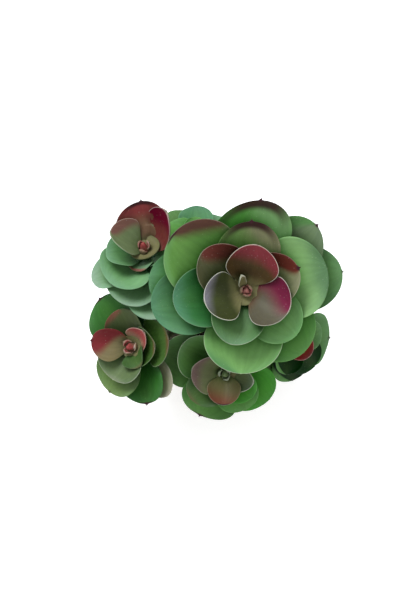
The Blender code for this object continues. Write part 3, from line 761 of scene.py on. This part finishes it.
def makeLeafSkin():
    # the colours: foot (for green leaves partly painted shade), body, a paler middle stripe (painted highlight),
    # bloom near the rims (partly painted sheen), blush and maroon band towards the tip, a pale rim (partly painted
    # highlight), a dark spine, and the painted shade between leaves
    group, given, result = newGroup("leafSkin", {
        "Vector": ("Place", *leafMarks), "Color": leafTints, "Float": ("bloom", "band"),
    }, {"Color": ["Color"], "Float": ["Gloss", "Height"]})
    along, across, shade = parts(given["leafPlace"])
    rim, tip, face = parts(given["leafEdge"])
    start, side, softness = parts(given["leafBlush"])
    footEnd, rimStrength, spineStrength = parts(given["leafTrim"])
    own = shift(given["Place"], given["leafSeed"])
    cloud = noise(own, leafSkin["cloudScale"])
    wander = times(plus(cloud, -0.5), leafSkin["wander"])
    lengthways = node("CombineXYZ", {0: times(across, leafSkin["streaks"]), 1: times(along, 1.3)})[0]
    streak = noise(shift(lengthways, given["leafSeed"]), 1.0, 4.0)
    lightest, darkest = 1 + leafSkin["streakTone"], 1 - leafSkin["streakTone"]
    tone = times(
        mottle(own, leafSkin["mottleScale"], leafSkin["mottle"]), ease(streak, 0.3, 0.7, darkest, lightest))

    # the foot's colour: the leaf's own foot colour, and for the green leaves a dark green that is painted shade under
    # the leaves above
    foot = ease(plus(along, wander), footEnd, times(footEnd, 0.3))
    colour = blend(foot, given["bodyTint"], given["footTint"])
    # painted highlight: a paler stripe down the middle of the leaf towards the tip
    middle = times(ease(calc("ABSOLUTE", across), 0.6, 0.0), ease(along, 0.45, 0.8), 0.04)
    colour = blend(middle, colour, leafSkin["middle"])
    # pale blue-green near the rims: partly wax bloom, partly painted sheen
    bloomAndSheen = times(ease(plus(rim, times(cloud, 3.0)), *leafSkin["bloomEnds"]), given["bloom"])
    colour = blend(bloomAndSheen, colour, leafSkin["bloom"])
    blush = ease(plus(along, times(across, side), wander), start, plus(start, softness))
    colour = blend(blush, colour, given["blushTint"])
    powder = speckle(own, leafSkin["powderScale"], leafSkin["powderShare"])
    powder = times(powder, plus(times(blush, leafSkin["blushPowder"]), leafSkin["powder"]))
    colour = blend(powder, colour, leafSkin["rim"])
    width = plus(times(given["band"], leafSkin["bandWidth"]), 0.4)
    reach = plus(times(given["band"], leafSkin["bandReach"]), 3.0)
    band = times(ease(rim, width, times(width, 0.4)), ease(tip, reach, times(reach, 0.3)))
    band = times(band, calc("GREATER_THAN", given["band"], 0.01), 0.96)
    colour = blend(band, colour, leafSkin["band"])
    colour = toned(colour, times(tone, leafSkin["depth"]))

    colour = blend(times(ease(face, -0.1, -0.6), 0.45), colour, leafSkin["underside"])
    # the pale rim line: partly the leaf's own pale edge, partly a painted highlight
    edge = times(ease(rim, *leafSkin["rimEnds"]), rimStrength, ease(cloud, 0.3, 0.6, 0.5), ease(along, 0.3, 0.5))
    colour = blend(edge, colour, leafSkin["rim"])
    colour = blend(times(ease(tip, *leafSkin["spineEnds"]), spineStrength), colour, leafSkin["spine"])
    colour = blend(calc("POWER", shade, leafSkin["shadePower"]), colour, leafSkin["shade"], "MULTIPLY")

    put(result["Color"], colour)
    put(result["Gloss"], plus(times(tone, 0.25), times(blush, 0.06)))
    veins = calc("SINE", times(across, leafSkin["veins"]))
    put(result["Height"], plus(grain(own, leafSkin["grainScale"]), times(veins, 0.12)))
    return group


leafSkinGroup = makeLeafSkin()


def leafMaterial(name):
    # the leaf skin on the marks of the leaves' points; two of the tints carry the bloom and the band beside them
    material, tree, shader, place = newMaterial(name)
    values = {"Place": place, "bloom": mark(tree, "bodyTint", "Alpha"), "band": mark(tree, "footTint", "Alpha")}
    values |= {label: mark(tree, label) for label in leafMarks}
    values |= {label: mark(tree, label, "Color") for label in leafTints}
    skin = node("Group", values, node_tree=leafSkinGroup)
    roughness = plus(skin["Gloss"], leafSkin["gloss"])
    dress(shader, skin["Color"], roughness, skin["Height"], leafSkin["bumps"], leafSkin["bumpDepth"])
    shader["Subsurface Weight"].default_value = 0.1
    shader["Subsurface Radius"].default_value = (0.9, 1.0, 0.3)
    shader["Subsurface Scale"].default_value = 1.2 * mm
    shader["Specular IOR Level"].default_value = 0.12
    return material


# Stems

stemShape = {
    "rootDepth": 20 * mm,
    "soilTop": 50 * mm,
    "bend": 0.45,  # how far the two ends run straight on, as a share of the stem's length
    "collar": 2 * mm,
    "wobble": 0.03,
    "wobbleSize": 9 * mm,
    "scar": 0.22 * mm,
    "scarSpacing": 3.6 * mm,
    "scarSlant": 1.1,
    "scarDrift": 300,  # radians a metre
    "sides": 28,
    "rings": 90,
}


def stemMesh(plan):
    # a tube along a smooth curve from the root to the crown. It swells to the core under the lowest leaf, tapers
    # to the bud, and bears low rings where leaves have dropped.
    root = np.array((*plan["root"], stemShape["soilTop"] / mm)) * mm
    crown = np.array(plan["crown"]) * mm
    facing = np.array(rosetteFrame(plan).to_3x3() @ Vector((0, 0, 1)))
    reach = stemShape["bend"] * np.linalg.norm(crown - root)
    lowest = max(leaf["seat"] for leaf in leavesOf(plan))
    t = np.linspace(0, 1, 400)[:, None]
    ahead, behind = root + (0, 0, reach), crown - facing * reach
    curve = root * (1 - t) ** 3 + ahead * 3 * t * (1 - t) ** 2 + behind * 3 * t**2 * (1 - t) + crown * t**3
    line = np.concatenate([[root - (0, 0, stemShape["rootDepth"])], curve, [crown + facing * bud["height"]]])
    travelled = lengthAlong(line)
    total = travelled[-1]
    at = np.linspace(0, total, stemShape["rings"])
    middle = pointsAt(line, travelled, at)
    lowestAt = total - bud["height"] - lowest
    stem, core = plan["stemRadius"] * mm, plan["coreRadius"] * mm
    places = (0, lowestAt - 4 * stemShape["collar"], lowestAt - stemShape["collar"] / 2, lowestAt, total)
    radius = np.interp(at, places, (stem, stem, core, core, bud["radius"]))[:, None]
    ahead = unit(np.gradient(middle, axis=0))
    side = unit(np.cross(np.broadcast_to((0, 1.0, 0), ahead.shape), ahead))
    other = np.cross(ahead, side)
    at, turn = at[:, None], around(stemShape["sides"])
    wobble = waves(at + 0 * turn, 0.004 * np.cos(turn) + 0 * at, stemShape["wobbleSize"], 6, plan["seed"])
    slant = stemShape["scarSlant"] * np.sin(turn * 2 + at * stemShape["scarDrift"])
    scars = np.maximum(np.cos(2 * np.pi * at / stemShape["scarSpacing"] + slant), 0) ** 4
    width = radius * (1 + stemShape["wobble"] * wobble) + stemShape["scar"] * scars
    outward = side[:, None, :] * np.cos(turn)[..., None] + other[:, None, :] * np.sin(turn)[..., None]
    points, faces = closedTube(middle[:, None, :] + width[..., None] * outward)
    marks = together(at / total, scars, np.cos(turn)).reshape(-1, 3)
    return points, faces, {"stemPlace": np.concatenate([marks, [[0, 0, 0], [1, 0, 0]]])}


stemBark = {"young": tint(64, 80, 40), "old": tint(84, 76, 50), "scar": tint(128, 116, 86)}


def stemMaterial():
    # old bark that turns green towards the crown, with pale scars
    material, tree, shader, place = newMaterial("stemBark")
    along, scar, _ = parts(mark(tree, "stemPlace"))
    tone = mottle(place, 240.0, 0.7)
    colour = blend(ease(times(along, tone), 0.45, 0.9), stemBark["old"], stemBark["young"])
    colour = toned(blend(times(scar, 0.5), colour, stemBark["scar"]), tone)
    dress(shader, colour, times(tone, 0.62), grain(place, 1300.0), 0.35, 0.4 * mm)
    return material


# Pot

pot = {
    "height": 56 * mm, "rimRadius": 38 * mm, "collarHeight": 15 * mm, "collarStep": 2.2 * mm,
    "footRadius": 27 * mm, "wall": 4 * mm, "floor": 5 * mm,
    "ringWidth": 4 * mm, "ringHeight": 1.5 * mm, "ringSlope": 1.2 * mm, "footBevel": 0.4 * mm,
    "drainRadius": 5 * mm, "edge": 1.3 * mm, "sides": 160, "spacing": 1.1 * mm,
    "throwing": 0.07 * mm,  # the height of the rings that the wheel leaves
    "throwingPitch": 1.15 * mm, "throwingTilt": 0.35,
    "uneven": 0.08 * mm, "unevenSize": 30 * mm,
}


def insideRadius(height):
    # straight taper from the pot's floor to its rim
    low, high = pot["footRadius"] - pot["wall"], pot["rimRadius"] - pot["wall"]
    return low + (high - low) * (height - pot["floor"]) / (pot["height"] - pot["floor"])


def roundedOutline(corners, radius, steps=6):
    # a closed outline whose corners are arcs: each is a curve from one side to the other, pulled to the corner
    corners = np.array(corners)
    before, after = np.roll(corners, 1, axis=0) - corners, np.roll(corners, -1, axis=0) - corners
    shorter = np.minimum(np.linalg.norm(before, axis=1), np.linalg.norm(after, axis=1))
    reach = np.minimum(radius, 0.45 * shorter)[:, None]
    first, last = (corners + unit(way) * reach for way in (before, after))
    t = np.linspace(0, 1, steps)[None, :, None]
    arcs = first[:, None] * (1 - t) ** 2 + corners[:, None] * 2 * t * (1 - t) + last[:, None] * t**2
    return arcs.reshape(-1, 2)


def spacedOutline(outline, step):
    # the same closed outline with a point at least every step
    closed = np.concatenate([outline, outline[:1]])
    travelled = lengthAlong(closed)
    at = np.unique(np.concatenate([travelled, np.arange(0, travelled[-1], step)]))[:-1]
    return pointsAt(closed, travelled, at[np.concatenate([[True], np.diff(at) > 0.02 * mm])])


def potMesh():
    # the outline turned about Z. The wall keeps faint rings from the wheel and is not quite round.
    collarFoot = pot["height"] - pot["collarHeight"]
    ringInside = pot["footRadius"] - pot["ringWidth"]
    outline = spacedOutline(roundedOutline([
        (pot["drainRadius"], pot["ringHeight"]), (ringInside - pot["ringSlope"], pot["ringHeight"]), (ringInside, 0),
        (pot["footRadius"] - pot["footBevel"], 0), (pot["rimRadius"] - pot["collarStep"], collarFoot),
        (pot["rimRadius"], collarFoot), (pot["rimRadius"], pot["height"]), (insideRadius(pot["height"]), pot["height"]),
        (insideRadius(pot["floor"]), pot["floor"]), (pot["drainRadius"], pot["floor"]),
    ], pot["edge"]), pot["spacing"])
    turn = around(pot["sides"])
    radius, height = outline[:, :1], outline[:, 1:]
    wheel = pot["throwing"] * np.sin(height / pot["throwingPitch"] + pot["throwingTilt"] * turn)
    wheel = wheel * (radius > pot["footRadius"] - 2 * mm)
    uneven = waves(radius * np.cos(turn), radius * np.sin(turn) + height, pot["unevenSize"], 5, 5) * pot["uneven"]
    width = radius + (wheel + uneven) * smooth(height, 1 * mm, 5 * mm)
    points = together(width * np.cos(turn), width * np.sin(turn), height)
    rows, columns = points.shape[:2]
    ring, last = np.arange(columns), (rows - 1) * columns
    after = np.roll(ring, -1)
    seam = np.stack([last + ring, last + after, after, ring], axis=-1)
    return points.reshape(-1, 3), [gridFaces(rows, columns), seam]


potClay = {
    "clay": tint(178, 104, 74), "dark": tint(146, 78, 54), "salt": tint(206, 176, 152), "damp": tint(112, 62, 46),
    "lowSalt": (22 * mm, 6 * mm), "highSalt": (55.5 * mm, 60 * mm),  # heights where it begins and is full
    "dampWall": (34.6 * mm, 33.8 * mm), "dampTop": (55 * mm, 50 * mm),
}


def potMaterial():
    # fired clay: cloudy tone, pale salt low on the wall and by the rim, damp inside, and a sandy skin
    material, _, shader, place = newMaterial("firedClay")
    x, y, z = parts(place)
    tone = mottle(place, 38.0, 1.1)
    cloud = noise(place, 70.0, 5.0, 0.62)
    colour = blend(ease(cloud, 0.35, 0.7), potClay["clay"], potClay["dark"])
    low = ease(plus(z, times(cloud, 14 * mm)), *potClay["lowSalt"])
    high = ease(plus(z, times(cloud, 6 * mm)), *potClay["highSalt"])
    colour = blend(times(calc("MAXIMUM", low, high), 0.5), colour, potClay["salt"])
    distance = calc("SQRT", plus(times(x, x), times(y, y)))
    inside = times(ease(distance, *potClay["dampWall"]), ease(z, *potClay["dampTop"]), 0.7)
    colour = blend(inside, colour, potClay["damp"])
    colour = blend(times(speckle(place, 700.0, 0.12), 0.4), colour, potClay["salt"])
    roughness = plus(times(cloud, 0.2), 0.68)
    dress(shader, toned(colour, tone), roughness, plus(grain(place, 1100.0), cloud), 0.35, 0.35 * mm)
    return material


# Soil

soil = {
    "top": 50 * mm, "bottom": 5.3 * mm, "clearance": 0.3 * mm, "crown": 1.5 * mm, "rings": 72, "sides": 200,
    "crumb": 0.2475 * mm,
    "crumbs": ((1.0, 5 * mm, 14, 1), (0.7, 2.1 * mm, 18, 2), (0.45, 1.0 * mm, 22, 3)),  # share, size, waves, seed
    "dark": tint(26, 21, 15), "light": tint(52, 40, 28), "specks": tint(150, 138, 120),
}


def soilHeight(x, y):
    # a low crown with crumbs of three sizes, which die out at the wall
    inside = np.clip(1 - (np.hypot(x, y) / insideRadius(soil["top"])) ** 2, 0, 1)
    crumbs = sum(share * waves(x, y, size, count, seed) for share, size, count, seed in soil["crumbs"])
    return soil["top"] + soil["crown"] * inside + soil["crumb"] * crumbs * np.sqrt(inside + 0.05)


def soilMesh():
    # rings from the middle of the top out to the wall, down it and in to the middle of the bottom
    outer = insideRadius(soil["top"]) - soil["clearance"]
    lower = insideRadius(soil["bottom"]) - soil["clearance"]
    share = np.linspace(0.01, 1, soil["rings"]) ** 0.8
    down, inward = np.linspace(0, 1, 12)[1:], np.linspace(1, 0.05, 8)[1:]
    radius = np.concatenate([outer * share, outer + (lower - outer) * down, lower * inward])[:, None]
    depth = np.concatenate([0 * share, down, 1 + 0 * inward])[:, None]
    x, y = radius * np.cos(-around(soil["sides"])), radius * np.sin(-around(soil["sides"]))
    z = soilHeight(x, y) * (1 - depth) + soil["bottom"] * depth
    return closedTube(together(x, y, z))


def soilMaterial():
    # dark crumbs, lighter on their tops, with pale specks
    material, _, shader, place = newMaterial("pottingSoil")
    tone = mottle(place, 190.0, 1.5)
    cloud = noise(place, 420.0, 5.0, 0.7)
    colour = blend(ease(cloud, 0.35, 0.65), soil["dark"], soil["light"])
    colour = toned(blend(times(speckle(place, 900.0, 0.1), 0.6), colour, soil["specks"]), tone)
    dress(shader, colour, plus(times(cloud, 0.15), 0.82), plus(cloud, grain(place, 800.0)), 0.7, 0.6 * mm)
    return material


grit = {
    "count": 620, "seed": 7, "margin": 2.4 * mm, "smallest": 0.45 * mm, "spread": 0.9 * mm, "fewLarge": 2.2,
    "lumps": 0.16, "least": (0.8, 0.7, 0.5), "most": (1.3, 1.0, 0.8), "tilt": 0.5, "raised": 0.25,
    "rings": 5, "sides": 8,
    # the colours and how common each is
    "tints": (tint(128, 122, 110), tint(88, 76, 60), tint(54, 40, 28), tint(40, 31, 24), tint(104, 92, 74)),
    "shares": (0.16, 0.18, 0.28, 0.26, 0.12),
}


def gritMesh():
    # small stones and bark crumbs on the soil: squashed, lumpy balls, each turned and sized by a seeded draw
    draw = np.random.default_rng(grit["seed"])
    count = grit["count"]
    reach = (insideRadius(soil["top"]) - grit["margin"]) * np.sqrt(draw.uniform(0, 1, count))
    turn = draw.uniform(0, 2 * np.pi, count)
    x, y = reach * np.cos(turn), reach * np.sin(turn)
    size = grit["smallest"] + grit["spread"] * draw.uniform(0, 1, count) ** grit["fewLarge"]
    rise, side = np.linspace(-np.pi / 2, np.pi / 2, grit["rings"] + 2)[1:-1, None], around(grit["sides"])
    ball, blocks = closedTube(together(np.cos(rise) * np.cos(side), np.cos(rise) * np.sin(side), np.sin(rise)))
    ball[-2:] = ((0, 0, -1), (0, 0, 1))
    lumps = 1 + grit["lumps"] * draw.normal(size=(count, len(ball), 1))
    shape = ball * lumps * size[:, None, None] * draw.uniform(grit["least"], grit["most"], (count, 3))[:, None, :]
    spin, tilt = draw.uniform(0, 2 * np.pi, count), draw.uniform(-grit["tilt"], grit["tilt"], count)
    ahead, up = turned(shape[..., 0], shape[..., 2], tilt[:, None])
    ahead, aside = turned(ahead, shape[..., 1], spin[:, None])
    z = soilHeight(x, y) + grit["raised"] * size
    points = together(ahead + x[:, None], aside + y[:, None], up + z[:, None])
    offsets = np.arange(count)[:, None, None] * len(ball)
    faces = [(block + offsets).reshape(-1, block.shape[1]) for block in blocks]
    chosen = draw.choice(len(grit["tints"]), count, p=grit["shares"])
    tints = np.array([(*colour, 1) for colour in grit["tints"]])[chosen]
    return points.reshape(-1, 3), faces, {"gritTint": np.repeat(tints, len(ball), axis=0)}


def gritMaterial():
    # each stone's own colour, times a cloudy tone
    material, tree, shader, place = newMaterial("gritAndBark")
    tone = mottle(place, 900.0, 1.2)
    colour = toned(mark(tree, "gritTint", "Color"), tone)
    dress(shader, colour, times(tone, 0.8), grain(place, 2600.0), 0.4, 0.2 * mm)
    return material


# Making the pieces

meshPiece("clayPot", potMaterial(), *potMesh(), "clay", "pot")
meshPiece("soilBed", soilMaterial(), *soilMesh(), "earth", "soil")
points, faces, marks = gritMesh()
meshPiece("soilGrit", gritMaterial(), points, faces, "earth", **marks)
bark = stemMaterial()
for plan in (rosetteLarge, rosetteBackLeft, rosetteFrontLeft, rosetteFront, rosetteFrontRight, rosetteBack):
    points, faces, marks = rosetteMesh(plan)
    leaves = leafMaterial("leafSkin" + plan["name"])
    meshPiece("leaves" + plan["name"], leaves, points, faces, plan["slot"], plan["node"], **marks)
    points, faces, marks = stemMesh(plan)
    meshPiece("stem" + plan["name"], bark, points, faces, plan["slot"], plan["node"], **marks)


# Floor, light and camera

studio = {
    "floorSize": 6.0,
    "floorDrop": 0.1 * mm,
    "floorColour": (0.93, 0.93, 0.93),
    "floorGlow": 0.38,  # keeps the shadows on it pale
    "worldColour": (0.93, 0.97, 1.0),
    "worldStrength": 0.76,
    # place, size, power in watts, colour
    "lights": {
        "keyLight": ((-0.4, 0.45, 0.95), 0.5, 11.0, (0.95, 0.98, 1.0)),
        "fillLight": ((0.6, -0.6, 0.8), 0.8, 3.0, (1.0, 0.97, 0.92)),
    },
}

view = {
    "target": (-2.7 * mm, -9.7 * mm, 125 * mm),
    "elevation": 75,
    "distance": 600 * mm,
    "longSide": 348 * mm,  # what the long side of the frame spans at the target
    "sensor": 36,
}


def addToScene(name, data, place, facing=None):
    # an object at a place, with its -Z along the way that it faces
    made = bpy.data.objects.new(name, data)
    made.location = place
    if facing:
        made.rotation_euler = facing.to_track_quat("-Z", "Y").to_euler()
    bpy.context.scene.collection.objects.link(made)
    return made


def makeFloor():
    # a wide square just under the pot, pale in the shadows too
    half = studio["floorSize"] / 2
    mesh = bpy.data.meshes.new("floor")
    mesh.from_pydata([(-half, -half, 0), (half, -half, 0), (half, half, 0), (-half, half, 0)], [], [(0, 1, 2, 3)])
    material, _, shader, place = newMaterial("paleFloor")
    put(shader["Base Color"], toned(studio["floorColour"], mottle(place, 3.0, 0.02)))
    shader["Roughness"].default_value = 0.9
    put(shader["Emission Color"], studio["floorColour"])
    shader["Emission Strength"].default_value = studio["floorGlow"]
    mesh.materials.append(material)
    addToScene("floor", mesh, (0, 0, -studio["floorDrop"]))


def makeLights():
    # round lamps that face the target, and an even sky
    aim = Vector(view["target"])
    for name, (spot, size, power, colour) in studio["lights"].items():
        light = bpy.data.lights.new(name, "AREA")
        light.shape = "DISK"
        light.size, light.energy, light.color = size, power, colour
        addToScene(name, light, spot, aim - Vector(spot))
    world = bpy.data.worlds.new("studio")
    world.use_nodes = True
    background = world.node_tree.nodes["Background"].inputs
    background["Color"].default_value = (*studio["worldColour"], 1)
    background["Strength"].default_value = studio["worldStrength"]
    bpy.context.scene.world = world


def makeCamera():
    # the lens is the sensor's width, times the distance, over what the frame spans at the target
    rise = math.radians(view["elevation"])
    back = Vector((0, -math.cos(rise), math.sin(rise)))
    lens = bpy.data.cameras.new("camera")
    lens.sensor_width = view["sensor"]
    lens.lens = view["sensor"] * view["distance"] / view["longSide"]
    bpy.context.scene.camera = addToScene("camera", lens, Vector(view["target"]) + back * view["distance"], -back)


makeFloor()
makeLights()
makeCamera()
bpy.context.scene.view_settings.view_transform = "Standard"
print("studio made")
